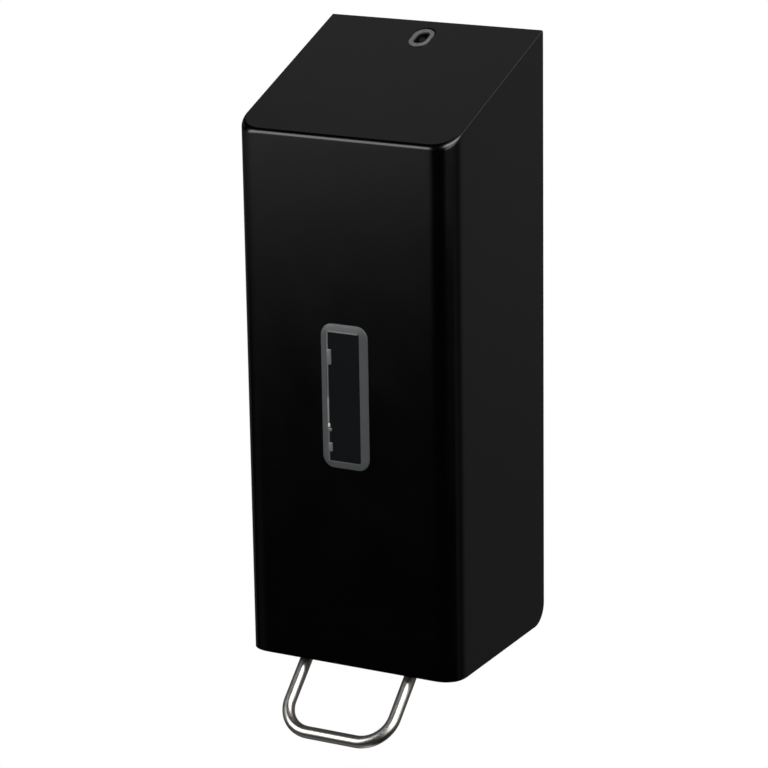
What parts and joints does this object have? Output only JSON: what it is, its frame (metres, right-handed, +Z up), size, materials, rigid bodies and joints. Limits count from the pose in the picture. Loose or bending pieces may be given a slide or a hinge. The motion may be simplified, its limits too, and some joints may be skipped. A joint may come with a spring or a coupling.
{
  "type": "soap dispenser",
  "caption": "Wall-mounted lever soap dispenser: steel box cover with a sloping top, a window, a keyhole lock, and a bent wire lever below that lifts a piston pump.",
  "frame": {"origin": "middle of the four wall screw holes, on the rear face of the back plate, which lies on the wall", "axes": "+Z up, +Y into the wall, the front faces -Y, +X to the right seen from the front"},
  "size_m": [0.112, 0.1185, 0.3237],
  "materials": {
    "cover_black": "satin powder coat with a fine texture",
    "grey_plastic": "matt moulded plastic",
    "black_plastic": "moulded plastic",
    "smoked_lens": "clear plastic, slightly smoked",
    "stainless": "satin",
    "zinc_steel": "bright zinc",
    "bottle_plastic": "translucent blow moulding",
    "white_plastic": "moulded plastic",
    "soft_rubber": "silicone"
  },
  "bodies": {
    "wall_unit": {"back_plate": "zinc_steel", "hook_studs": "stainless", "latch_spring": "stainless", "latch_rivets": "zinc_steel", "shelf_bracket": "zinc_steel", "bracket_screws": "zinc_steel", "pivot_bush_left": "white_plastic", "pivot_bush_right": "white_plastic", "bottle": "bottle_plastic", "bottle_lid": "white_plastic", "bottle_gasket": "soft_rubber", "union_nut": "white_plastic", "pump_body": "white_plastic", "pump_guide": "white_plastic", "inlet_valve": "soft_rubber", "pump_bellows": "soft_rubber"},
    "cover": {"cover_shell": "cover_black", "cover_catch": "cover_black", "cover_hook_left": "cover_black", "cover_hook_right": "cover_black", "window_bezel": "grey_plastic", "window_lens": "smoked_lens", "lock_escutcheon": "grey_plastic", "lock_retainer": "black_plastic"},
    "button": {"lock_plunger": "black_plastic"},
    "lever": {"bow": "stainless", "push_nuts": "zinc_steel", "lever_yoke": "black_plastic"},
    "piston": {"pump_piston": "white_plastic", "piston_seal": "soft_rubber", "pump_collar": "white_plastic", "nozzle": "white_plastic", "outlet_valve": "soft_rubber"}
  },
  "joints": [
    {"name": "bow_swing", "type": "hinge", "parent": "wall_unit", "child": "lever", "pos_m": [0, -0.06554, -0.1322], "axis": [1, 0, 0], "range_deg": [0, 26], "stiffness_Nm_per_rad": 0.4, "springref_deg": -22.92},
    {"name": "piston_lift", "type": "slide", "parent": "wall_unit", "child": "piston", "axis": [0, 0, 1], "range_m": [0, 0.00991], "deforming": ["pump_bellows"]},
    {"name": "cover_pull", "type": "slide", "parent": "wall_unit", "child": "cover", "axis": [0, -1, 0], "range_m": [0, 0.11], "deforming": ["latch_spring"]},
    {"name": "button_press", "type": "slide", "parent": "cover", "child": "button", "axis": [0, 0.3613, -0.9325], "range_m": [0, 0.0025], "stiffness_N_per_m": 800, "springref_m": -0.001, "deforming": ["latch_spring"]}
  ],
  "couplings": [
    {"joint": "piston_lift", "follows": "bow_swing", "m_per_rad": 0.021812}
  ]
}
